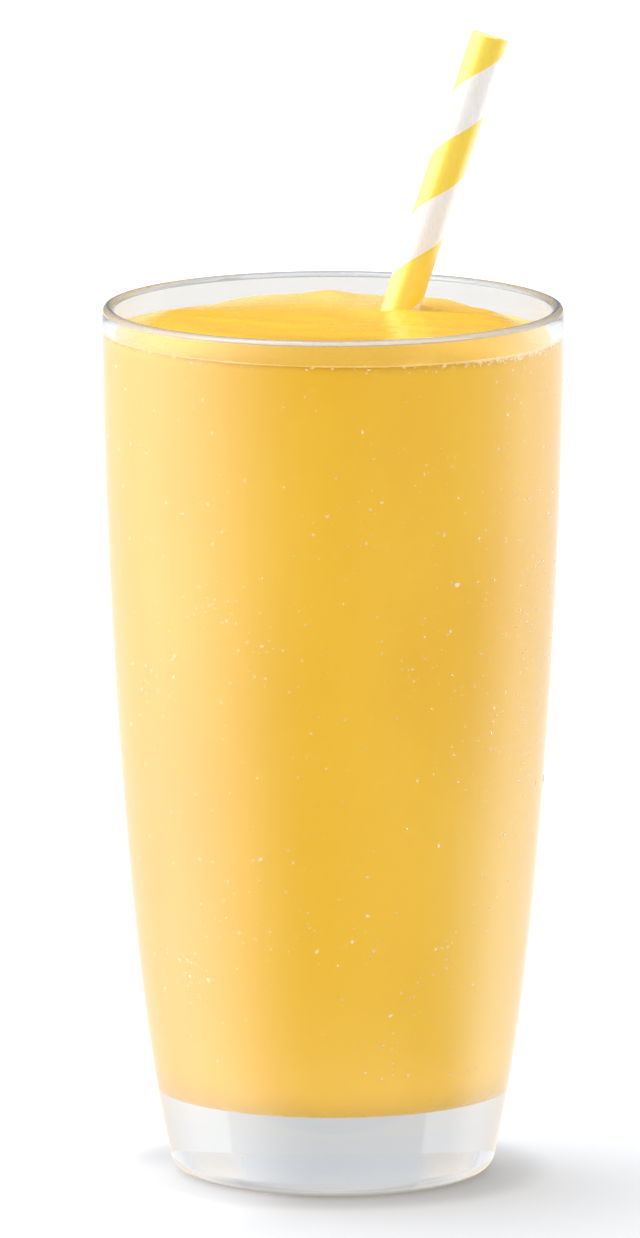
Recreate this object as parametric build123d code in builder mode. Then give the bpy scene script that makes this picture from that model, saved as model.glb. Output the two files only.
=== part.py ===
from build123d import *

import os
from math import exp, hypot, sqrt

# A mango smoothie in a heavy-based glass tumbler, with a paper straw standing in it.
#
# Millimetres, +Z up, with the front towards -Y. The origin is the centre of the tumbler's foot,
# on the surface that it stands on. Each piece is one solid: the tumbler, the drink and the straw.

# ---- Tumbler ----------------------------------------------------------------------------------
# The wall leans in from rim to foot on a gentle curve, and tucks in harder close to the foot.
glass_height = 152.5
rim_radius = 40.1
wall_lean = 10.0  # how far the gentle curve brings the wall in by the foot
wall_lean_power = 1.8
wall_tuck = 2.5  # how much further the wall tucks in close to the foot
wall_tuck_power = 8
wall_points = 12  # heights at which the wall's curve is worked out

rim_wall = 2.0  # thickness of the wall at the rim
floor_wall = 2.8  # thickness of the wall beside the floor
floor_height = 14.1  # thickness of the solid base, up to the floor inside
floor_rounding = 13.0  # between the floor and the wall, inside
heel_rounding = 3.8  # between the wall and the foot, outside
lip_rounding = 0.48 * rim_wall  # each side of the lip, which leaves it all but fully round

# ---- Drink ------------------------------------------------------------------------------------
drink_drop = 5.15  # from the rim down to where the drink meets the wall, on average
rise_left = 0.4  # how much higher it meets the wall at the left, and lower at the right
rise_front = 0.3  # how much higher it meets the wall at the front, and lower at the back
crown_height = 3.2  # how far its thick middle stands above the wall line
crown_slope_width = 11.0  # from the wall in to where the crown is level

# Where the drink was poured and folded over itself: x, y, height and spread of each hump, and of
# each hollow, whose height is less than zero.
humps = (
    (-0.5, 24.0, 1.0, 3.0),  # last dollop, at the back of the crown
    (-11.0, 10.0, 0.25, 7.0),  # left shoulder
    (-23.0, 19.0, -1.0, 5.0),  # dip behind the left shoulder
    (7.0, 22.0, -0.15, 4.0),  # dip behind the straw
    (18.0, 16.0, 0.9, 4.5),  # right shoulder
    (25.0, 17.0, -0.5, 3.5),  # dip beside the right shoulder
    (5.2, 3.5, -1.0, 3.4),  # hollow drawn along by the straw, on its left
    (12.5, 0.5, 0.55, 3.0),  # lip pushed up in front of the straw
    (-4.0, -8.0, -0.4, 6.0),  # shallow trough across the front
)
fold_reach = 19.5  # distance from the glass's axis of the fold across the front of the crown
fold_height = 0.45
fold_width = 2.6
surface_cells = 44  # squares along each side of the grid that the drink's surface passes through

# ---- Straw ------------------------------------------------------------------------------------
straw_diameter = 6.6
straw_wall = 0.5
straw_rise = 45.25  # from the rim up to the middle of the straw's upper end
straw_tip_x = 27.4
straw_tip_y = 14.8
straw_foot_height = 37.0  # of the middle of the lower end above the surface the glass stands on
straw_foot_y = -8.3
straw_seat_gap = 0.3  # between the lower end and the wall that it leans on

# ---- Worked out from the above ----------------------------------------------------------------
straw_radius = straw_diameter / 2
drink_level = glass_height - drink_drop


def outer_radius(z):
    """Radius of the outside of the wall: the rim's, less the lean and the tuck at height z."""
    fall = 1 - z / glass_height
    return rim_radius - wall_lean * fall**wall_lean_power - wall_tuck * fall**wall_tuck_power


def inner_radius(z):
    """Radius of the inside: the outside's, less a wall that thins evenly from floor to rim."""
    climb = (z - floor_height) / (glass_height - floor_height)
    return outer_radius(z) - floor_wall - (rim_wall - floor_wall) * climb


def wall_curve(radius_at, low, high):
    """Points of a wall's curve from one height to another."""
    step = (high - low) / (wall_points - 1)
    heights = [low + step * n for n in range(wall_points)]
    return [(radius_at(z), z) for z in heights]


def drink_surface(x, y):
    """Height of the drink: a level crown that slopes to the wall, with humps and a front fold."""
    reach = hypot(x, y)
    wall = inner_radius(drink_level)
    inward = min(max((wall - reach) / crown_slope_width, 0), 1)
    on_crown = inward**2 * (3 - 2 * inward)
    relief = sum(
        height * exp(-((x - hump_x) ** 2 + (y - hump_y) ** 2) / (2 * spread**2))
        for hump_x, hump_y, height, spread in humps
    )
    frontness = max(-y / max(reach, 1), 0) ** 2
    fold = fold_height * frontness * exp(-(((reach - fold_reach) / fold_width) ** 2))
    tilt = -(rise_left * x + rise_front * y) / wall
    return drink_level + tilt + on_crown * (crown_height + relief + fold)


# The inside of the tumbler, from the floor to the rim. It is cut out of the glass and filled by
# the drink, so the two meet face to face.
with BuildPart() as cavity:
    with BuildSketch(Plane.XZ):
        with BuildLine():
            inside = Spline(*wall_curve(inner_radius, floor_height, glass_height))
            Polyline(inside @ 1, (0, glass_height), (0, floor_height), inside @ 0)
        make_face()
    revolve(axis=Axis.Z)
    fillet(cavity.edges().group_by(Axis.Z)[0], floor_rounding)

with BuildPart() as glass:
    with BuildSketch(Plane.XZ):
        with BuildLine():
            outside = Spline(*wall_curve(outer_radius, 0, glass_height))
            Polyline(outside @ 1, (0, glass_height), (0, 0), outside @ 0)
        make_face()
    revolve(axis=Axis.Z)
    fillet(glass.edges().group_by(Axis.Z)[0], heel_rounding)
    add(cavity.part, mode=Mode.SUBTRACT)
    fillet(glass.edges().group_by(Axis.Z)[-1], lip_rounding)

# A straight tube, cut square at both ends. Its lower end leans on the wall at the left, and its
# upper end stands out of the glass to the right and a little to the back.
with BuildPart() as straw:
    foot_reach = inner_radius(straw_foot_height) - straw_radius - straw_seat_gap
    straw_foot = Vector(-sqrt(foot_reach**2 - straw_foot_y**2), straw_foot_y, straw_foot_height)
    straw_tip = Vector(straw_tip_x, straw_tip_y, glass_height + straw_rise)
    with BuildSketch(Plane(origin=straw_foot, z_dir=straw_tip - straw_foot)):
        Circle(straw_radius)
        Circle(straw_radius - straw_wall, mode=Mode.SUBTRACT)
    extrude(amount=(straw_tip - straw_foot).length)

# The air over the drink: the drink's surface, worked out on a square grid that reaches past the
# glass, and everything above it up to past the rim.
grid_side = 2 * (rim_radius + 2)
grid_lines = [grid_side * (n / surface_cells - 0.5) for n in range(surface_cells + 1)]
surface_points = [[(x, y, drink_surface(x, y)) for y in grid_lines] for x in grid_lines]
surface = Face.make_surface_from_array_of_points(surface_points)
with BuildPart() as headspace:
    extrude(to_extrude=surface, amount=2 * drink_drop, dir=(0, 0, 1))

# The drink fills the glass up to its own surface, all round the straw and up the straw's bore.
with BuildPart() as smoothie:
    add(cavity.part)
    add(headspace.part, mode=Mode.SUBTRACT)
    add(straw.part, mode=Mode.SUBTRACT)

os.makedirs("parts", exist_ok=True)
glass.part.label = "glass"
smoothie.part.label = "smoothie"
straw.part.label = "straw"
export_step(glass.part, "parts/glass.step")
export_step(smoothie.part, "parts/smoothie.step")
export_step(straw.part, "parts/straw.step")
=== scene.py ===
"""The looks of a mango smoothie in a heavy-based glass tumbler, with a striped paper straw in it.

Metres, +Z up, with the front towards -Y. Every new piece is a surface worked out as whole numpy
arrays, from the same sizes as the CAD model, which are given here in metres.
"""

import bpy
import numpy as np
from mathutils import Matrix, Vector


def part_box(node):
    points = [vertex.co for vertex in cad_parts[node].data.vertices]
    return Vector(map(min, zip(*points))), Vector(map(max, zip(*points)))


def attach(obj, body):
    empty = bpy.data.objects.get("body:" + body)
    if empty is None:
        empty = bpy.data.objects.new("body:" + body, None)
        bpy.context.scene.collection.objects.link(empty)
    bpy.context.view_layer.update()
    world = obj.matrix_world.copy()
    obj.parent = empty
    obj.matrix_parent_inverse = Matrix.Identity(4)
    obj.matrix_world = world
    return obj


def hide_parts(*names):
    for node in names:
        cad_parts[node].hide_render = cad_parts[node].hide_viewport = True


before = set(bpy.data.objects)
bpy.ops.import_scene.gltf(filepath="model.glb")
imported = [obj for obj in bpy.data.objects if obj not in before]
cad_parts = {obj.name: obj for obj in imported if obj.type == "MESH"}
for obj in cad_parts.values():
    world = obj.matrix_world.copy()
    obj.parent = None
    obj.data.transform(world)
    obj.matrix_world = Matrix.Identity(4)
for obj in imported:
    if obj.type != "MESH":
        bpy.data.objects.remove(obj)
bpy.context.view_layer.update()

MM = 0.001

# ---- Tumbler: the CAD model's sizes -----------------------------------------------------------
GLASS_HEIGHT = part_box("glass")[1].z
RIM_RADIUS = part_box("glass")[1].x
WALL_LEAN, WALL_LEAN_POWER = 10.0 * MM, 1.8
WALL_TUCK, WALL_TUCK_POWER = 2.5 * MM, 8
RIM_WALL, FLOOR_WALL = 2.0 * MM, 2.8 * MM
FLOOR_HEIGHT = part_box("smoothie")[0].z
FLOOR_ROUNDING, HEEL_ROUNDING, LIP_ROUNDING = 13.0 * MM, 3.8 * MM, 0.96 * MM
BASE_GLASS_HEIGHT = 0.8 * FLOOR_HEIGHT  # where the base's glass gives way to the wall's

# ---- Drink ------------------------------------------------------------------------------------
DRINK_LEVEL = GLASS_HEIGHT - 5.15 * MM
RISE_LEFT, RISE_FRONT = 0.4 * MM, 0.3 * MM
CROWN_HEIGHT, CROWN_SLOPE_WIDTH = 3.2 * MM, 11.0 * MM
# Humps and hollows of the poured drink: x, y, height and spread, in millimetres.
HUMPS = (
    (-0.5, 24.0, 1.0, 3.0),
    (-11.0, 10.0, 0.25, 7.0),
    (-23.0, 19.0, -1.0, 5.0),
    (7.0, 22.0, -0.15, 4.0),
    (18.0, 16.0, 0.9, 4.5),
    (25.0, 17.0, -0.5, 3.5),
    (5.2, 3.5, -1.0, 3.4),
    (12.5, 0.5, 0.55, 3.0),
    (-4.0, -8.0, -0.4, 6.0),
)
FOLD_REACH, FOLD_HEIGHT, FOLD_WIDTH = 19.5 * MM, 0.45 * MM, 2.6 * MM
# Finer folds, which the CAD model leaves out: middle x and y, half length, half width and height
# in millimetres, and the compass turn from the X axis in degrees.
FINE_FOLDS = (
    (-11.0, -9.5, 15.0, 1.7, 0.38, -14.0),
    (-20.0, 3.0, 9.0, 2.2, 0.22, -8.0),
    (-3.0, 12.0, 9.0, 2.0, 0.2, 12.0),
    (20.0, 2.0, 8.0, 1.5, 0.4, -4.0),
    (23.0, -4.0, 9.0, 1.8, -0.3, 5.0),
    (9.0, -13.0, 9.0, 1.6, 0.25, 9.0),
    (1.0, -1.5, 7.0, 2.2, -0.25, 4.0),
    (24.0, 9.0, 6.0, 1.6, 0.25, -12.0),
)
FINE_FOLD_RISE, FINE_FOLD_BOW = 1.6, 0.014
RIPPLES, RIPPLE_HEIGHT, RIPPLE_SLANT = 26, 0.0045 * MM, 0.6
RIPPLE_LENGTHS = (3.0, 10.0)  # shortest and longest, in millimetres
CALM_WIDTH = 6.0 * MM  # width of the band along the wall where folds and ripples die away
MENISCUS_RISE, MENISCUS_WIDTH = 0.35 * MM, 0.7 * MM
STRAW_CLIMB, STRAW_CLIMB_WIDTH = 0.5 * MM, 0.9 * MM
WALL_BITE = 0.15 * MM  # how far the drink reaches into the glass, so that no air shows between

# ---- Straw ------------------------------------------------------------------------------------
STRAW_RADIUS, STRAW_WALL, STRAW_EDGE_ROUNDING = 3.3 * MM, 0.5 * MM, 0.12 * MM
STRAW_TIP = np.array([27.4, 14.8, 197.75]) * MM
STRAW_FOOT = np.array([-26.215, -8.3, 37.0]) * MM
STRIPE_LEAD = 22.35 * MM  # length of straw in which the stripe goes once round
STRIPE_DROP = 23.75 * MM  # from the tip down to the middle of a yellow turn, on the front


# ---- Meshes -----------------------------------------------------------------------------------
def smoothstep(x):
    """0 below 0, 1 above 1, and the cubic 3x^2 - 2x^3 between."""
    x = np.clip(x, 0, 1)
    return x * x * (3 - 2 * x)


def ring_faces(rings, around, wrap=False):
    """Quads between each ring of points and the next; with wrap, between the last and the first."""
    row = np.arange(rings if wrap else rings - 1)[:, None] * around
    column = np.arange(around)[None, :]
    after = (column + 1) % around
    above = (row + around) % (rings * around)
    return np.stack([row + column, row + after, above + after, above + column], -1).reshape(-1, 4)


def new_piece(name, skin, finishes, starts_at=(), uv=None, pale=None):
    """A smooth-shaded mesh from a skin (points, quads, triangles), riding on the part.

    The second finish starts at the faces whose lowest corner number is the first of starts_at, the
    third at the second, and so on. pale is a number for each point, which the finish may read.
    """
    points, quads, triangles = skin
    mesh = bpy.data.meshes.new(name)
    corners = np.concatenate([quads.ravel(), triangles.ravel()]).astype(np.int32)
    sizes = np.concatenate([np.full(len(quads), 4), np.full(len(triangles), 3)])
    starts = np.concatenate([[0], np.cumsum(sizes)[:-1]]).astype(np.int32)
    mesh.vertices.add(len(points))
    mesh.vertices.foreach_set("co", np.ascontiguousarray(points, dtype=np.float32).ravel())
    mesh.loops.add(len(corners))
    mesh.loops.foreach_set("vertex_index", corners)
    mesh.polygons.add(len(sizes))
    mesh.polygons.foreach_set("loop_start", starts)
    if uv is not None:
        mesh.uv_layers.new(name="surface").data.foreach_set("uv", uv(corners).astype(np.float32).ravel())
    if pale is not None:
        layer = mesh.attributes.new("pale", "FLOAT", "POINT")
        layer.data.foreach_set("value", pale.astype(np.float32))
    mesh.update(calc_edges=True)
    mesh.shade_smooth()
    for finish in finishes:
        mesh.materials.append(finish)
    lowest = np.minimum.reduceat(corners, starts)
    which = np.searchsorted(np.array(starts_at, dtype=int), lowest, side="right")
    mesh.polygons.foreach_set("material_index", which.astype(np.int32))
    piece = bpy.data.objects.new(name, mesh)
    bpy.context.scene.collection.objects.link(piece)
    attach(piece, "root")
    return piece


def turned_skin(rings, start, end):
    """A closed skin: quads over rings of points, and a fan from a pole at each end."""
    count, around = rings.shape[:2]
    points = np.concatenate([rings.reshape(-1, 3), [start], [end]])
    first, last = count * around, count * around + 1
    one = np.arange(around)
    after = (one + 1) % around
    low = np.stack([np.full(around, first), after, one], -1)
    top = (count - 1) * around
    high = np.stack([np.full(around, last), top + one, top + after], -1)
    return points, ring_faces(count, around), np.concatenate([low, high])


# ---- Shapes of revolution ---------------------------------------------------------------------
def outer_radius(z):
    """The rim's radius, less a lean of the 1.8th power and a tuck of the 8th power of the fall."""
    fall = 1 - np.clip(z, 0, GLASS_HEIGHT) / GLASS_HEIGHT
    return RIM_RADIUS - WALL_LEAN * fall**WALL_LEAN_POWER - WALL_TUCK * fall**WALL_TUCK_POWER


def inner_radius(z):
    """The outer radius, less a wall that thins evenly from the floor to the rim."""
    climb = (z - FLOOR_HEIGHT) / (GLASS_HEIGHT - FLOOR_HEIGHT)
    return outer_radius(z) - FLOOR_WALL - (RIM_WALL - FLOOR_WALL) * climb


def corner_arc(radius_at, ground, rounding, steps=24):
    """Profile (r, z) of the arc that runs from level ground up into a leaning wall, tangent to both.

    The wall's lean at the tangent point sets where the arc ends, so the point is found by turns.
    """
    z = ground + rounding
    for _ in range(30):
        lean = np.arctan((radius_at(z + 1e-5) - radius_at(z - 1e-5)) / 2e-5)
        z = ground + rounding * (1 - np.sin(lean))
    turn = np.linspace(-np.pi / 2, -lean, steps)
    centre = radius_at(z) - rounding * np.cos(lean)
    return np.stack([centre + rounding * np.cos(turn), ground + rounding * (1 + np.sin(turn))], -1)


def turned(profile, around):
    """Rings of points from a profile (r, z) turned about the Z axis."""
    turn = np.arange(around) / around * 2 * np.pi
    r, z = profile[:, :1], profile[:, 1:]
    return np.stack([r * np.cos(turn), r * np.sin(turn), np.broadcast_to(z, (len(z), around))], -1)


# ---- Small things on a wall -------------------------------------------------------------------
def on_wall(radius_at, compass, z, stand):
    """Points that stand off a turned wall, and the wall's outward, sideways and upward directions.

    The compass angle is 0 at the front and grows to the right.
    """
    lean = np.arctan((radius_at(z + MM) - radius_at(z - MM)) / (2 * MM))[:, None]
    out = np.stack([np.sin(compass), -np.cos(compass), np.zeros_like(z)], -1)
    side = np.stack([np.cos(compass), np.sin(compass), np.zeros_like(z)], -1)
    rise = np.array([0.0, 0.0, 1.0])
    at = out * (radius_at(z) + stand)[:, None] + rise * z[:, None]
    return at, out * np.cos(lean) - rise * np.sin(lean), side, out * np.sin(lean) + rise * np.cos(lean)


def sizes(chance, count, typical, unevenness, smallest, largest):
    """Chance sizes in millimetres, bell-shaped in their logarithm, and kept between two limits."""
    return np.clip(chance.lognormal(np.log(typical), unevenness, count), smallest, largest)


def compass_angles(chance, count, middle, spread, share):
    """Chance angles round the glass, a share of them gathered about a middle, and which those are.

    The middle and the spread of the gathered ones are in degrees; the rest lie evenly all round.
    """
    gathered = np.radians(chance.normal(middle, spread, count))
    close = chance.random(count) < share
    return np.where(close, gathered, chance.uniform(0, 2 * np.pi, count)), close


def domes(place, half_length, half_width, height, turn, around=8):
    """A closed low dome at each place: its half axes shrink as cos t while it rises as sin t.

    Its lowest ring is sunk into the wall, where the foot closes it.
    """
    sunk = 0.34  # depth of the foot, as a share of the height
    at, out, side, up = (one[:, None, None] for one in place)
    c, s = np.cos(turn)[:, None, None, None], np.sin(turn)[:, None, None, None]
    ring, spoke = np.radians([-20, 12, 48]), np.arange(around) / around * 2 * np.pi
    reach, rise = np.cos(ring)[None, :, None, None], np.sin(ring)[None, :, None, None]
    length, width, top = (one[:, None, None, None] for one in (half_length, half_width, height))
    long, wide = (side * c + up * s) * length, (up * c - side * s) * width
    cos, sin = np.cos(spoke)[None, None, :, None], np.sin(spoke)[None, None, :, None]
    rings = at + reach * (cos * long + sin * wide) + rise * top * out
    poles = np.concatenate([(at - sunk * top * out)[:, 0], (at + top * out)[:, 0]], 1)
    count = len(half_length)
    points = np.concatenate([rings.reshape(count, -1, 3), poles], 1)
    _, quads, fans = turned_skin(np.zeros((len(ring), around, 3)), (0, 0, 0), (0, 0, 0))
    first = np.arange(count)[:, None, None] * points.shape[1]
    return points.reshape(-1, 3), (quads + first).reshape(-1, 4), (fans + first).reshape(-1, 3)


def joined(*skins):
    """Several skins as one, each one's corner numbers moved past those before it."""
    before = np.cumsum([0] + [len(skin[0]) for skin in skins])
    return tuple(
        np.concatenate([skin[part] + (first if part else 0) for skin, first in zip(skins, before)])
        for part in range(3)
    )


# ---- Drink's surface --------------------------------------------------------------------------
def drink_surface(x, y):
    """The CAD model's surface: a level crown that slopes to the wall, with humps and a front fold."""
    reach = np.hypot(x, y)
    wall = inner_radius(DRINK_LEVEL)
    on_crown = smoothstep((wall - reach) / CROWN_SLOPE_WIDTH)
    relief = sum(
        height * MM * np.exp(-((x / MM - hump_x) ** 2 + (y / MM - hump_y) ** 2) / (2 * spread**2))
        for hump_x, hump_y, height, spread in HUMPS
    )
    frontness = np.clip(-y / np.maximum(reach, MM), 0, None) ** 2
    fold = FOLD_HEIGHT * frontness * np.exp(-(((reach - FOLD_REACH) / FOLD_WIDTH) ** 2))
    tilt = -(RISE_LEFT * x + RISE_FRONT * y) / wall
    return DRINK_LEVEL + tilt + on_crown * (CROWN_HEIGHT + relief + fold)


def fine_surface(x, y):
    """The CAD model's surface with finer folds, ripples, and a small climb at glass and straw.

    Each fold is a bowed ridge with a bell-shaped section and bell-shaped ends. The ripples are
    sines in chance directions, and each climb falls off exponentially with distance.
    """
    wall = inner_radius(DRINK_LEVEL)
    reach = np.hypot(x, y)
    calm = smoothstep((wall - reach) / CALM_WIDTH)
    height = np.zeros_like(x)
    for middle_x, middle_y, length, width, rise, turn in FINE_FOLDS:
        c, s = np.cos(np.radians(turn)), np.sin(np.radians(turn))
        along = (x / MM - middle_x) * c + (y / MM - middle_y) * s
        bow = FINE_FOLD_BOW * along**2 * np.sign(turn)
        across = (y / MM - middle_y) * c - (x / MM - middle_x) * s + bow
        height += FINE_FOLD_RISE * rise * MM * np.exp(-((along / length) ** 2) - (across / width) ** 2)
    chance = np.random.default_rng(5)
    for _ in range(RIPPLES):
        turn, phase = chance.uniform(0, 2 * np.pi, 2)
        wave = 2 * np.pi / (chance.uniform(*RIPPLE_LENGTHS) * MM)
        height += RIPPLE_HEIGHT * np.sin(wave * (x * np.cos(turn) * RIPPLE_SLANT + y * np.sin(turn)) + phase)
    climb = MENISCUS_RISE * np.exp(-np.clip(wall - reach, 0, None) / MENISCUS_WIDTH)
    axis = (STRAW_TIP - STRAW_FOOT) / np.linalg.norm(STRAW_TIP - STRAW_FOOT)
    at_level = STRAW_FOOT + axis * ((DRINK_LEVEL + CROWN_HEIGHT - STRAW_FOOT[2]) / axis[2])
    off = np.stack([x - at_level[0], y - at_level[1], np.zeros_like(x)], -1)
    off -= (off @ axis)[..., None] * axis
    gap = np.clip(np.linalg.norm(off, axis=-1) - STRAW_RADIUS, 0, None)
    climb = climb + STRAW_CLIMB * np.exp(-gap / STRAW_CLIMB_WIDTH)
    return drink_surface(x, y) + calm * height + climb


# ---- Materials --------------------------------------------------------------------------------
class Number:
    """A socket that carries a number; arithmetic on it adds Math nodes to its material."""

    def __init__(self, finish, socket):
        self.finish, self.socket = finish, socket

    def __add__(self, other):
        return self.finish.math("ADD", self, other)

    def __sub__(self, other):
        return self.finish.math("SUBTRACT", self, other)

    def __rsub__(self, other):
        return self.finish.math("SUBTRACT", other, self)

    def __mul__(self, other):
        return self.finish.math("MULTIPLY", self, other)

    def __truediv__(self, other):
        return self.finish.math("DIVIDE", self, other)

    def __pow__(self, other):
        return self.finish.math("POWER", self, other)

    __radd__, __rmul__ = __add__, __mul__

    def between(self, low, high):
        """0 where the number is at low, 1 where it is at high, and a smooth step between."""
        return self.finish.number(
            "ShaderNodeMapRange",
            "Result",
            {"interpolation_type": "SMOOTHSTEP"},
            {"Value": self, "From Min": low, "From Max": high},
        )


class Finish:
    """A material, or the world, whose nodes are added one by one."""

    def __init__(self, owner):
        owner.use_nodes = True
        self.owner, self.tree = owner, owner.node_tree
        self.tree.nodes.clear()

    def add(self, kind, settings=None, sockets=None):
        """Adds a node, makes its settings, then fills its sockets with values or links."""
        node = self.tree.nodes.new(kind)
        for key, value in (settings or {}).items():
            setattr(node, key, value)
        for key, value in (sockets or {}).items():
            source = value.socket if isinstance(value, Number) else value
            if isinstance(source, bpy.types.NodeSocket):
                self.tree.links.new(source, node.inputs[key])
            elif isinstance(source, tuple) and len(source) == 3:
                is_colour = node.inputs[key].type == "RGBA"
                node.inputs[key].default_value = (*source, 1) if is_colour else source
            else:
                node.inputs[key].default_value = source
        return node

    def number(self, kind, output, settings=None, sockets=None):
        """Adds a node and gives one of its outputs as a number."""
        return Number(self, self.add(kind, settings, sockets).outputs[output])

    def math(self, operation, *terms):
        """What a Math node makes of one or more numbers."""
        return self.number("ShaderNodeMath", 0, {"operation": operation}, dict(enumerate(terms)))

    def dot(self, way, aim):
        """The cosine of the angle between two unit directions."""
        return self.number("ShaderNodeVectorMath", "Value", {"operation": "DOT_PRODUCT"}, {0: way, 1: aim})

    def axes(self, vector):
        """A vector's X, Y and Z as three numbers."""
        split = self.add("ShaderNodeSeparateXYZ", None, {"Vector": vector})
        return [Number(self, split.outputs[axis]) for axis in range(3)]

    def place(self):
        """Object coordinates, which on these pieces are the part's own, in metres."""
        return self.add("ShaderNodeTexCoord").outputs["Object"]

    def held(self, name):
        """A number that the mesh holds for each point."""
        return self.number("ShaderNodeAttribute", "Fac", {"attribute_name": name})

    def noise(self, scale, detail=2.0, stretch=(1, 1, 1)):
        """Noise from 0 to 1 over the part's own coordinates."""
        at = self.add("ShaderNodeMapping", None, {"Vector": self.place(), "Scale": stretch})
        wanted = {"Vector": at.outputs[0], "Scale": scale, "Detail": detail}
        return self.number("ShaderNodeTexNoise", "Fac", None, wanted)

    def blend(self, share, first, second):
        """A colour between two others."""
        return self.add("ShaderNodeMix", {"data_type": "RGBA"}, {0: share, 6: first, 7: second}).outputs[2]

    def mix(self, share, first, second):
        """A shader between two others."""
        return self.add("ShaderNodeMixShader", None, {0: share, 1: first, 2: second}).outputs[0]

    def bump(self, height, distance, strength=1.0):
        """A normal tilted by a height, which counts as the given distance in metres where it is 1."""
        sockets = {"Height": height, "Distance": distance, "Strength": strength}
        return self.add("ShaderNodeBump", None, sockets).outputs["Normal"]

    def ray(self, *kinds):
        """1 for rays of any of these kinds, such as "Is Shadow Ray"."""
        path = self.add("ShaderNodeLightPath")
        total = Number(self, path.outputs[kinds[0]])
        for kind in kinds[1:]:
            total = self.math("MAXIMUM", total, path.outputs[kind])
        return total

    def shader(self, kind="ShaderNodeBsdfPrincipled", **sockets):
        """Adds a shader, its sockets named with _ for each space, and gives its output."""
        named = {key.replace("_", " "): value for key, value in sockets.items()}
        return self.add(kind, None, named).outputs[0]

    def finish(self, surface, kind="ShaderNodeOutputMaterial"):
        """Joins the surface to the output, and gives the finished material or world."""
        self.add(kind, None, {"Surface": surface})
        return self.owner


# Where a painted reflection turns the heel pale on either side and how much, and the height at which it is
# ground.
HEEL_RIGHT, HEEL_LEFT = (4.3 * MM, 5.3 * MM), (-4.3 * MM, -5.3 * MM)
PAINTED_REFLECTION_RIGHT, PAINTED_REFLECTION_LEFT, PAINTED_REFLECTION_LEAST = 0.8, 0.6, 0.15
GROUND_EDGE = (1.4 * MM, 0.4 * MM)


def new_finish(name):
    """A new material, ready for its nodes."""
    return Finish(bpy.data.materials.new(name))


def heel_with_painted_reflections(f, body):
    """The base's heel: clear from outside, but ground pale where it stands on the table.

    Met from within it is nearly plain, with a pale painted reflection to the right and the left of a narrow
    middle.
    These painted sides stand in for reflections as met from the front, so they turn with the glass.
    """
    inside = f.number("ShaderNodeNewGeometry", "Backfacing")
    across, _, high = f.axes(f.place())
    aside = across.between(*HEEL_RIGHT) * PAINTED_REFLECTION_RIGHT + across.between(*HEEL_LEFT) * PAINTED_REFLECTION_LEFT
    plain = f.shader("ShaderNodeBsdfTransparent", Color=(0.97, 0.98, 1.0))
    # Painted reflection: a pale bluish matt share in place of what the heel reflects.
    painted_reflection = f.shader("ShaderNodeBsdfDiffuse", Color=(0.79, 0.87, 1.0))
    body = f.mix(inside, body, f.mix(aside + PAINTED_REFLECTION_LEAST, plain, painted_reflection))
    ground = f.shader("ShaderNodeBsdfDiffuse", Color=(0.4, 0.4, 0.41))
    return f.mix(high.between(*GROUND_EDGE) * (1 - inside), body, ground)


def clear_stuff(name, colour, ior, passed, clear=1.0, roughness=0.0, heel=False):
    """Glass or water that lamps and scattered light pass straight through, dimmed a little.

    What isn't clear is an opaque share. On the lip it is painted light, for the light the rounded lip
    gathers, and on the foot it is painted shade, grey as the shade seen through the base.
    """
    f = new_finish(name)
    body = f.shader(Base_Color=colour, Roughness=roughness, IOR=ior, Transmission_Weight=clear)
    if heel:
        body = heel_with_painted_reflections(f, body)
    through = f.shader("ShaderNodeBsdfTransparent", Color=(passed, passed, passed))
    return f.finish(f.mix(f.ray("Is Shadow Ray", "Is Diffuse Ray"), body, through))


def mango_drink(name, gloss, specks, froth):
    """Blended mango: opaque deep yellow, faintly mottled with pulp, moist where it meets the air.

    None of the changes with place are the drink's own. The top is paler and mottled towards the back, a
    painted sheen, and deeper at the front, a painted shade. Low down it is lighter in the middle, a painted
    light, duller at the left, a painted shade, and paler at the right, a painted haze for dew on the glass.
    They are painted as met from the front, and turn with it.
    """
    f = new_finish(name)
    cloud = f.noise(38.0, 3.0, (1, 1, 0.45)).between(0.3, 0.7)
    colour = f.blend(cloud, (0.85, 0.475, 0.031), (0.895, 0.52, 0.043))
    speck = f.noise(900.0, 2.0).between(0.62, 0.78) * specks
    colour = f.blend(speck, colour, (0.97, 0.66, 0.13))
    across, deep, high = f.axes(f.place())
    # Painted light: low down the drink is lighter, except at the left.
    low = high.between(0.1, 0.055) - high.between(0.035, 0.02) * 0.5
    colour = f.blend(low * across.between(-0.03, -0.01) * 0.26, colour, (0.96, 0.58, 0.06))
    # Painted shade: duller low down at the left.
    left_painted_shade = low * across.between(-0.012, -0.024)
    colour = f.blend(left_painted_shade * 0.35, colour, (0.8, 0.41, 0.045))
    # Painted haze for dew on the glass: paler low down at the right.
    painted_dew_haze = across.between(0.014, 0.027) * high.between(0.105, 0.05)
    colour = f.blend(painted_dew_haze * 0.33, colour, (0.97, 0.68, 0.2))
    # froth sets how strong the painted sheen at the back is, and brings the painted shade at the front.
    if froth:
        # Painted sheen: paler and mottled towards the back.
        back_painted_sheen = deep.between(0.0, 0.026) * (f.noise(90.0, 2.0, (0.6, 1, 1)) + 0.4)
        colour = f.blend(back_painted_sheen * froth, colour, (1.0, 0.86, 0.5))
        # Painted shade: deeper at the front of the top.
        front = deep.between(-0.020, -0.033)
        colour = f.blend(front * 0.85, colour, (0.62, 0.345, 0.004))
    surface = f.shader(
        Base_Color=colour,
        Roughness=f.noise(260.0) * 0.1 + 0.22,
        IOR=1.36,
        Specular_IOR_Level=gloss,
    )
    return f.finish(surface)


def pale_pulp():
    """Air and pulp in the drink: from the drink's own yellow to cream, as each point's number says."""
    f = new_finish("pale_pulp")
    colour = f.blend(f.held("pale"), (0.88, 0.51, 0.045), (1.0, 0.93, 0.72))
    roughness = f.noise(300.0) * 0.1 + 0.35
    return f.finish(f.shader(Base_Color=colour, Roughness=roughness, Specular_IOR_Level=0.1))


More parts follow.
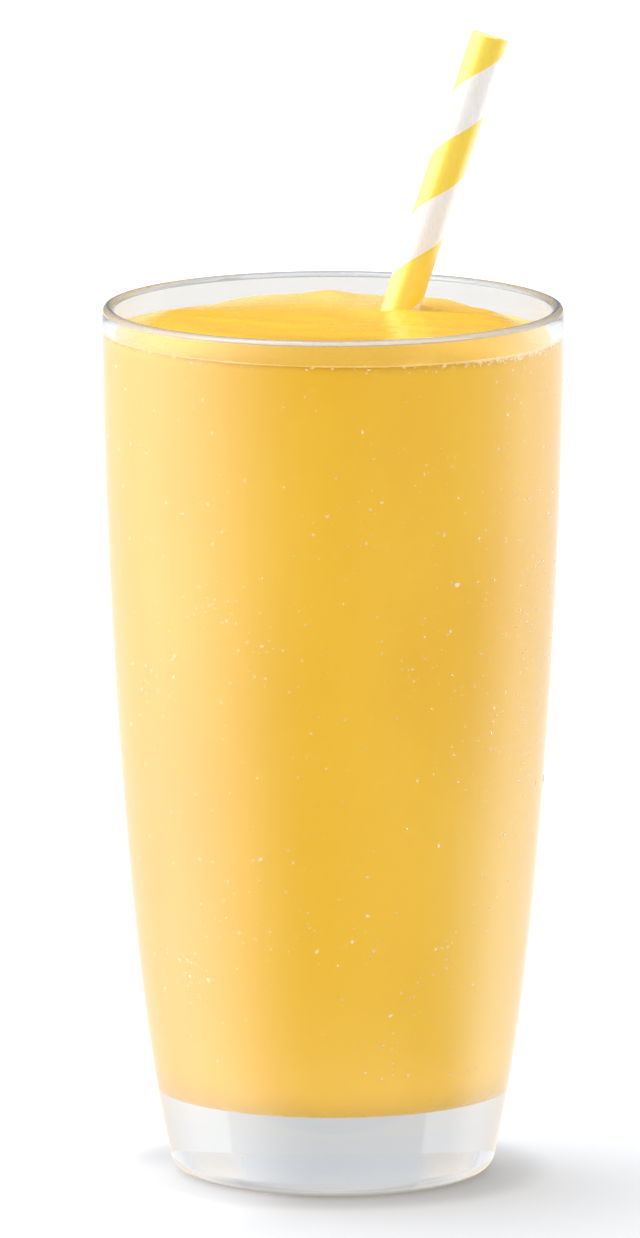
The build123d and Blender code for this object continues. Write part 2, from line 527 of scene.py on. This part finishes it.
def straw_paper():
    """Waxed white paper with one broad yellow stripe printed along its winding."""
    f = new_finish("straw_paper")
    uv = f.add("ShaderNodeUVMap", {"uv_map": "surface"})
    turn, along, _ = f.axes(uv.outputs[0])
    wander = (f.noise(420.0, 2.0) - 0.5) * 0.012
    phase = f.math("FRACT", along - turn + wander)
    from_middle = f.math("ABSOLUTE", phase - 0.5)
    yellow = from_middle.between(0.254, 0.246)
    fibre = f.noise(2600.0, 3.0, (1, 1, 0.25))
    ink = f.blend(fibre.between(0.3, 0.75), (0.86, 0.61, 0.008), (0.9, 0.65, 0.014))
    paper = f.blend(fibre.between(0.3, 0.75), (0.78, 0.75, 0.73), (0.85, 0.83, 0.82))
    surface = f.shader(
        Base_Color=f.blend(yellow, paper, ink),
        Roughness=fibre * 0.12 + 0.32,
        IOR=1.45,
        Coat_Weight=1.0,
        Coat_Roughness=0.28,
        Coat_IOR=1.68,
        Normal=f.bump(fibre, 0.00005, 0.4),
    )
    return f.finish(surface)


clear_glass = clear_stuff("clear_glass", (0.985, 0.99, 0.99), 1.5, 0.97)
# The lip's opaque grey-blue share is painted light, standing in for the light the rounded lip gathers and
# bends.
lip_glass = clear_stuff("clear_glass_lip", (0.52, 0.57, 0.65), 1.5, 0.92, clear=0.55)
base_glass = clear_stuff("clear_glass_base", (0.94, 0.965, 1.0), 1.5, 0.7)
heel_glass = clear_stuff("clear_glass_heel", (0.975, 0.985, 1.0), 1.5, 0.6, heel=True)
# The foot is opaque and bluish grey: painted shade, as the shade seen through the base.
foot_glass = clear_stuff("clear_glass_foot", (0.72, 0.79, 0.9), 1.5, 0.7, clear=0.0, roughness=0.5)
water = clear_stuff("clear_water", (0.99, 0.98, 0.94), 1.33, 0.98, clear=0.72, roughness=0.15)
# froth here is the strength of the painted sheen at the back of the top.
drink_top = mango_drink("mango_drink", gloss=0.3, specks=0.0, froth=0.38)
drink_side = mango_drink("mango_drink_at_glass", gloss=0.05, specks=0.22, froth=0.0)
pulp_finish = pale_pulp()
straw_finish = straw_paper()


# ---- Tumbler ----------------------------------------------------------------------------------
def tumbler():
    """One turned skin: foot, heel, outer wall, lip, inner wall and floor."""
    heel = corner_arc(outer_radius, 0, HEEL_ROUNDING)
    foot_r = np.linspace(0, heel[0, 0], 12)[1:-1]
    foot = np.stack([foot_r, np.zeros_like(foot_r)], -1)
    out_z = np.linspace(heel[-1, 1], GLASS_HEIGHT - LIP_ROUNDING, 90)[1:]
    outside = np.stack([outer_radius(out_z), out_z], -1)
    turn = np.linspace(0, np.pi / 2, 12)[1:]
    lip_z = GLASS_HEIGHT - LIP_ROUNDING
    outer_lip = np.stack(
        [outer_radius(lip_z) - LIP_ROUNDING * (1 - np.cos(turn)), lip_z + LIP_ROUNDING * np.sin(turn)], -1
    )
    inner_lip = np.stack(
        [inner_radius(lip_z) + LIP_ROUNDING * (1 - np.sin(turn)), lip_z + LIP_ROUNDING * np.cos(turn)], -1
    )
    corner = corner_arc(inner_radius, FLOOR_HEIGHT, FLOOR_ROUNDING)[::-1]
    in_z = np.linspace(lip_z, corner[0, 1], 90)[1:-1]
    inside = np.stack([inner_radius(in_z), in_z], -1)
    floor_r = np.linspace(corner[-1, 0], 0, 10)[1:-1]
    floor = np.stack([floor_r, np.full_like(floor_r, FLOOR_HEIGHT)], -1)
    profile = np.concatenate([foot, heel, outside, outer_lip, inner_lip, inside, corner, floor])
    around = 256
    skin = turned_skin(turned(profile, around), (0, 0, 0), (0, 0, FLOOR_HEIGHT))
    above_base = int(np.argmax(profile[:, 1] > BASE_GLASS_HEIGHT))
    lip_start = len(foot) + len(heel) + len(outside) - 1
    lip_end = lip_start + len(outer_lip) + len(inner_lip)
    starts_at = np.array([len(foot), len(foot) + len(heel), above_base, lip_start, lip_end]) * around
    finishes = (foot_glass, heel_glass, base_glass, clear_glass, lip_glass, clear_glass)
    piece = new_piece("tumbler", skin, finishes, starts_at)
    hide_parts("glass")
    return piece


# ---- Drink ------------------------------------------------------------------------------------
def mango_body():
    """One skin: the uneven top from its middle out to the wall, then down the wall to the floor."""
    around = 384
    turn = np.arange(around) / around * 2 * np.pi
    edge = inner_radius(DRINK_LEVEL) + WALL_BITE
    share = np.linspace(0, 1, 131)[1:] ** 0.85  # rings lie closer together towards the wall
    reach = share[:, None] * edge * np.ones(around)
    x, y = reach * np.cos(turn), reach * np.sin(turn)
    top = np.stack([x, y, fine_surface(x, y)], -1)
    rim_z = top[-1, :, 2]
    corner = corner_arc(inner_radius, FLOOR_HEIGHT, FLOOR_ROUNDING)[::-1]
    fall = np.linspace(0, 1, 60)[1:, None]
    z = rim_z * (1 - fall) + corner[0, 1] * fall
    r = inner_radius(z) + WALL_BITE
    side = np.stack([r * np.cos(turn), r * np.sin(turn), z], -1)
    low = turned(corner[1:] + [WALL_BITE, -WALL_BITE], around)
    floor_r = np.linspace(corner[-1, 0] + WALL_BITE, 0, 12)[1:-1]
    floor = turned(np.stack([floor_r, np.full_like(floor_r, FLOOR_HEIGHT - WALL_BITE)], -1), around)
    rings = np.concatenate([top, side, low, floor])[::-1]
    peak = (0, 0, float(fine_surface(np.zeros(1), np.zeros(1))[0]))
    skin = turned_skin(rings, (0, 0, FLOOR_HEIGHT - WALL_BITE), peak)
    first_top = (len(rings) - len(top)) * around
    piece = new_piece("mango_body", skin, (drink_side, drink_top), [first_top])
    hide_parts("smoothie")
    return piece


def pulp_flecks():
    """Pale flecks in the drink's skin, some single and some in loose clusters, a few bright.

    Each cluster is bell-shaped round the glass, in radians, and up the wall, in millimetres.
    """
    chance = np.random.default_rng(11)
    lone, clusters, each, bright_share = 620, 34, 15, 0.05
    middle = chance.uniform((0, 22), (2 * np.pi, 142), (clusters, 2))
    spread = chance.normal(0, 1, (clusters, each, 2)) * (0.09, 3.2)
    gathered = middle[:, None] + spread
    compass = np.concatenate([chance.uniform(0, 2 * np.pi, lone), gathered[..., 0].ravel()])
    z = np.concatenate([chance.uniform(19, 145, lone), gathered[..., 1].ravel()])
    z = np.clip(z, 18, 145) * MM
    count = len(z)
    size = sizes(chance, count, typical=0.17, unevenness=0.36, smallest=0.08, largest=0.32)
    pale = chance.uniform(0.1, 0.4, count)
    bright = chance.random(count) < bright_share
    size, pale = np.where(bright, size * 1.2 + 0.06, size) * MM, np.where(bright, 0.65, pale)
    slender = chance.uniform(1.0, 1.7, count)
    place = on_wall(inner_radius, compass, z, WALL_BITE)
    skin = domes(place, size * slender, size, size * 0.06, chance.uniform(0, np.pi, count))
    pale = np.repeat(pale, len(skin[0]) // count)
    return new_piece("pulp_flecks", skin, (pulp_finish,), pale=pale)


def froth():
    """A thin bead of froth round the edge of the drink's top, and small bubbles under it.

    The bubbles crowd together at the front right. The bead is a thin round section, of uneven
    size, carried round the wall along the edge.
    """
    chance = np.random.default_rng(12)
    count = 620
    compass, _ = compass_angles(chance, count, middle=57, spread=13, share=0.6)
    edge = inner_radius(DRINK_LEVEL)
    line = fine_surface(edge * np.sin(compass), -edge * np.cos(compass))
    z = line - np.abs(chance.normal(0, 0.55, count)) * MM
    size = sizes(chance, count, typical=0.13, unevenness=0.35, smallest=0.06, largest=0.3) * MM
    place = on_wall(inner_radius, compass, z, WALL_BITE)
    bubbles = domes(place, size * chance.uniform(1, 1.8, count), size, size * 0.4, np.zeros(count))
    around, section = 480, 8
    turn, spoke = np.arange(around) / around * 2 * np.pi, np.arange(section) / section * 2 * np.pi
    orders = (2, 5, 9, 17, 31, 53, 88)
    waves = sum(np.sin(order * turn + chance.uniform(0, 2 * np.pi)) / order**0.3 for order in orders)
    thick = np.clip(0.1 + 0.025 * waves[:, None], 0.05, None) * MM
    x, y = edge * np.sin(turn), -edge * np.cos(turn)
    level = fine_surface(x, y)[:, None] - 0.1 * MM
    r = inner_radius(level) + WALL_BITE + thick * np.cos(spoke)
    z = level + thick * 1.3 * np.sin(spoke)
    bead = np.stack([r * np.sin(turn)[:, None], -r * np.cos(turn)[:, None], z], -1).reshape(-1, 3)
    bead_quads = ring_faces(around, section, True)[:, ::-1]
    right = np.exp(-((np.degrees(turn) - 56) / 22) ** 2)
    bead_pale = np.repeat(0.13 + 0.35 * right + 0.1 * waves / 3, section)
    skin = joined(bubbles, (bead, bead_quads, np.zeros((0, 3), dtype=int)))
    bubble_pale = np.repeat(chance.uniform(0.12, 0.6, count), len(bubbles[0]) // count)
    pale = np.clip(np.concatenate([bubble_pale, bead_pale]), 0, 1)
    return new_piece("froth", skin, (pulp_finish,), pale=pale)


def condensation():
    """Droplets of water on the outside of the glass, most of them at the right, one large."""
    chance = np.random.default_rng(13)
    count = 280
    lowest, highest = 24, 140
    compass, close = compass_angles(chance, count, middle=60, spread=12, share=0.7)
    gathered_z = np.clip(chance.normal(98, 22, count), lowest, highest)
    z = np.where(close, gathered_z, chance.uniform(lowest, highest, count)) * MM
    size = sizes(chance, count, typical=0.15, unevenness=0.35, smallest=0.08, largest=0.4) * MM
    compass[0], z[0], size[0] = np.radians(86), 69.5 * MM, 0.8 * MM
    place = on_wall(outer_radius, compass, z, 0.0)
    skin = domes(place, size, size * chance.uniform(1.0, 1.25, count), size * 0.18, np.zeros(count))
    return new_piece("condensation", skin, (water,))


# ---- Straw ------------------------------------------------------------------------------------
def paper_straw():
    """A tube along its axis: out, over its square end, back along the bore and round again."""
    along = STRAW_TIP - STRAW_FOOT
    length = np.linalg.norm(along)
    up = along / length
    right = np.array([1.0, 0, 0]) - up[0] * up
    right /= np.linalg.norm(right)
    back = np.cross(up, right)
    around = 96
    turn = np.arange(around) / around * 2 * np.pi
    spoke = np.cos(turn)[:, None] * right + np.sin(turn)[:, None] * back
    steps = np.linspace(0, length, 240)
    soft = STRAW_EDGE_ROUNDING
    outside = [(STRAW_RADIUS - soft, 0)] + [(STRAW_RADIUS, s) for s in np.clip(steps, soft, length - soft)]
    bore = STRAW_RADIUS - STRAW_WALL
    inside = [(bore, s) for s in np.linspace(length - soft, soft, 60)]
    profile = np.array(
        outside + [(STRAW_RADIUS - soft, length), (bore + soft, length)] + inside + [(bore + soft, 0)]
    )
    r, s = profile[:, 0, None, None], profile[:, 1, None, None]
    rings = STRAW_FOOT + s * up + r * spoke
    count = len(profile)
    front_phase = (length - STRIPE_DROP) / STRIPE_LEAD + 0.25

    def uv(corners):
        """Turns round the straw, and lengths of the stripe's lead along it from a yellow middle."""
        ring, column = corners // around, corners % around
        first = column.reshape(-1, 4).max(1, keepdims=True) == around - 1
        lone = column.reshape(-1, 4)
        lone = lone + around * (first & (lone == 0))
        lead = s.ravel()[ring] / STRIPE_LEAD - front_phase + 0.5
        return np.stack([lone.ravel() / around, lead], -1)

    skin = (rings.reshape(-1, 3), ring_faces(count, around, True), np.zeros((0, 3), dtype=int))
    piece = new_piece("paper_straw", skin, (straw_finish,), uv=uv)
    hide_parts("straw")
    return piece


tumbler()
mango_body()
pulp_flecks()
froth()
condensation()
paper_straw()


# ---- Stage, light and camera ------------------------------------------------------------------
AMBIENT = 0.465
# Soft lamps: compass angle from the front, elevation, narrowness and strength.
LAMPS = (
    (-138, 60, 20, 4.0),
    (-88, 37, 20, 2.3),
    (-90, 25, 4, 0.5),
    (-45, 30, 6, 0.16),
    (16, 8, 20, 3.25),
    (180, 45, 4, 0.27),
    (90, 45, 4, 0.3),
    (180, 66, 7, 1.5),
)
OVERHEAD = 6.0
FLOOR_GLOW = 0.12
UNDER_GLOW, UNDER_REACH = 0.8, 0.055
# Mirrored soft panels: compass angle, narrowness and strength; the strip has its width instead.
LEFT_PANEL, FRONT_PANEL, RIGHT_STRIP = (-88, 2.8, 4.7), (50, 4.0, 0.3), (112, 0.13, 2.4)
MIRRORED_LEAST, MIRRORED_TABLE, MIRRORED_FLOOR = 0.15, 1.2, 1.05
# What is seen through the glass: grey straight behind, a paler surround from either side of it.
SIDE_EDGE, SIDE_FADE, SIDE_PALE = (0.915, 0.9), (0.8, 0.3), 0.1
BACK_GREY, FAR_WHITE = 0.62, 0.89
FLOOR_HALF, FLOOR_DROP = 8.0, 0.05 * MM
CAMERA_PLACE, CAMERA_AIM, CAMERA_LENS = (0, -3.3, 0.671), (-0.00226, 0, 0.0973), 560


def heading(compass, elevation=0.0):
    """The unit direction of a compass angle, 0 degrees for the front and 90 the right, and a rise."""
    turn, rise = np.radians(compass), np.radians(elevation)
    aim = (np.sin(turn) * np.cos(rise), -np.cos(turn) * np.cos(rise), np.sin(rise))
    return tuple(float(one) for one in aim)


BACK, FRONT_LEFT = heading(178), heading(-60)


def behind_glass(facing_back):
    """How bright it is behind the glass, from the cosine of the angle to straight behind."""
    return (facing_back.between(*SIDE_EDGE) - facing_back.between(*SIDE_FADE)) * SIDE_PALE + BACK_GREY


def floor_sheet():
    """A level pale sheet that shows white past the shadow, and keeps the shadow.

    Through the glass it glows grey behind the base, a painted shade, paler to the sides and white further
    off.
    Close to the drink it is cooler, against the drink's warm glow, and a painted contact shadow darkens a
    ring round the foot. A painted pool of light makes it a little brighter at the front left, and close to
    the drink it gives matt surfaces some light from below.
    """
    f = new_finish("floor_white")
    away = f.number("ShaderNodeVectorMath", "Value", {"operation": "LENGTH"}, {0: f.place()})
    paint = f.blend(away.between(0.03, 0.13), (0.655, 0.7, 0.775), (0.69, 0.7, 0.715))
    # Painted contact shadow: a darker ring round the foot.
    paint = f.blend(away.between(0.04, 0.032) * 0.4, paint, (0.36, 0.38, 0.41))
    card = f.shader("ShaderNodeBsdfDiffuse", Color=paint)
    toward = f.add("ShaderNodeVectorMath", {"operation": "NORMALIZE"}, {0: f.place()}).outputs[0]
    # Painted pool of light, seen by the camera, at the front left near the foot.
    bright = f.dot(toward, FRONT_LEFT).between(0.6, 0.98) * away.between(0.075, 0.03) * 0.2
    seen = f.ray("Is Camera Ray") * (away.between(0.06, 0.5) * 0.45 + bright + FLOOR_GLOW)
    seen = seen + f.ray("Is Diffuse Ray") * away.between(UNDER_REACH, 0.6 * UNDER_REACH) * UNDER_GLOW
    glow = f.shader("ShaderNodeEmission", Color=seen)
    plain = f.add("ShaderNodeAddShader", None, {0: card, 1: glow}).outputs[0]
    steep = f.number("ShaderNodeLayerWeight", "Facing").between(0.93, 0.88)
    far = away.between(0.3, 0.7) * steep * FAR_WHITE
    # Seen through the glass the floor glows instead: grey behind the base, a painted shade, and white
    # further off.
    pale = f.math("MAXIMUM", behind_glass(f.dot(toward, BACK)), far)
    through = f.shader("ShaderNodeEmission", Color=f.blend(pale, (0.0, 0.0, 0.0), (0.94, 0.97, 1.0)))
    surface = f.mix(f.ray("Is Transmission Ray"), plain, through)
    half, low = FLOOR_HALF, -FLOOR_DROP
    points = [(-half, -half, low), (half, -half, low), (half, half, low), (-half, half, low)]
    mesh = bpy.data.meshes.new("floor")
    mesh.from_pydata(points, [], [(0, 1, 2, 3)])
    mesh.materials.append(f.finish(surface))
    mesh.materials[0].cycles.emission_sampling = "NONE"
    floor = bpy.data.objects.new("floor", mesh)
    floor.visible_glossy = False
    bpy.context.scene.collection.objects.link(floor)


def studio_world():
    """White where the camera looks, and even light on matt things.

    Gloss sees a tall soft panel at the left, a narrow strip at the right, a faint panel in front,
    the table and a pale floor, and a bright panel overhead. Through the glass the back is grey and
    the sides are paler.
    """
    world = bpy.data.worlds.new("studio")
    bpy.context.scene.world = world
    f = Finish(world)
    way = f.add("ShaderNodeTexCoord").outputs["Generated"]
    level = f.add("ShaderNodeVectorMath", {"operation": "MULTIPLY"}, {0: way, 1: (1.0, 1.0, 0.0)})
    level = f.add("ShaderNodeVectorMath", {"operation": "NORMALIZE"}, {0: level.outputs[0]}).outputs[0]

    def lamp(compass, elevation, power, strength):
        """A soft round light: the cosine of the angle from its middle, raised to a power."""
        return f.math("MAXIMUM", f.dot(way, heading(compass, elevation)), 0.0) ** power * strength

    def panel(compass, power, strength):
        """A soft upright panel: the cosine of the compass angle from it, raised to a power."""
        return f.math("MAXIMUM", f.dot(level, heading(compass)), 0.0) ** power * strength

    def strip(compass, width, strength):
        """A narrow upright strip, which falls off exponentially with the same cosine."""
        return f.math("EXPONENT", (f.dot(level, heading(compass)) - 1) / width) * strength

    light = sum((lamp(*one) for one in LAMPS), start=AMBIENT)
    height, to_back = f.axes(way)[2], f.dot(level, heading(180))
    sides = (panel(*LEFT_PANEL) + strip(*RIGHT_STRIP)) * height.between(-0.8, -0.55)
    mirrored = sides + panel(*FRONT_PANEL)
    mirrored = mirrored + height.between(-0.38, -0.5) * to_back.between(0.2, -0.4) * MIRRORED_TABLE
    mirrored = mirrored + to_back.between(0.45, 1.0) * height.between(0.02, -0.02) * MIRRORED_FLOOR
    above = height.between(0.9, 0.94)
    high_in_front = height.between(0.3, 0.45) * to_back.between(0.1, -0.3)
    overhead = f.math("MAXIMUM", high_in_front, above * 0.28) * OVERHEAD
    mirrored = mirrored + MIRRORED_LEAST + overhead
    through = behind_glass(f.dot(level, BACK)) + above * 0.3
    seen, gloss, passed = f.ray("Is Camera Ray"), f.ray("Is Glossy Ray"), f.ray("Is Transmission Ray")
    strength = seen + gloss * (passed * through + (1 - passed) * mirrored) + (1 - seen) * (1 - gloss) * light
    surface = f.shader("ShaderNodeBackground", Color=(1.0, 1.0, 1.0), Strength=strength)
    f.finish(surface, "ShaderNodeOutputWorld")


def camera():
    """A long lens a little above the rim, at the height that shows the rim as it does."""
    data = bpy.data.cameras.new("camera")
    data.lens = CAMERA_LENS
    data.clip_end = 20
    eye = bpy.data.objects.new("camera", data)
    eye.location = CAMERA_PLACE
    eye.rotation_euler = (Vector(CAMERA_AIM) - eye.location).to_track_quat("-Z", "Y").to_euler()
    bpy.context.scene.collection.objects.link(eye)
    bpy.context.scene.camera = eye


floor_sheet()
studio_world()
camera()
bpy.context.scene.view_settings.view_transform = "Standard"
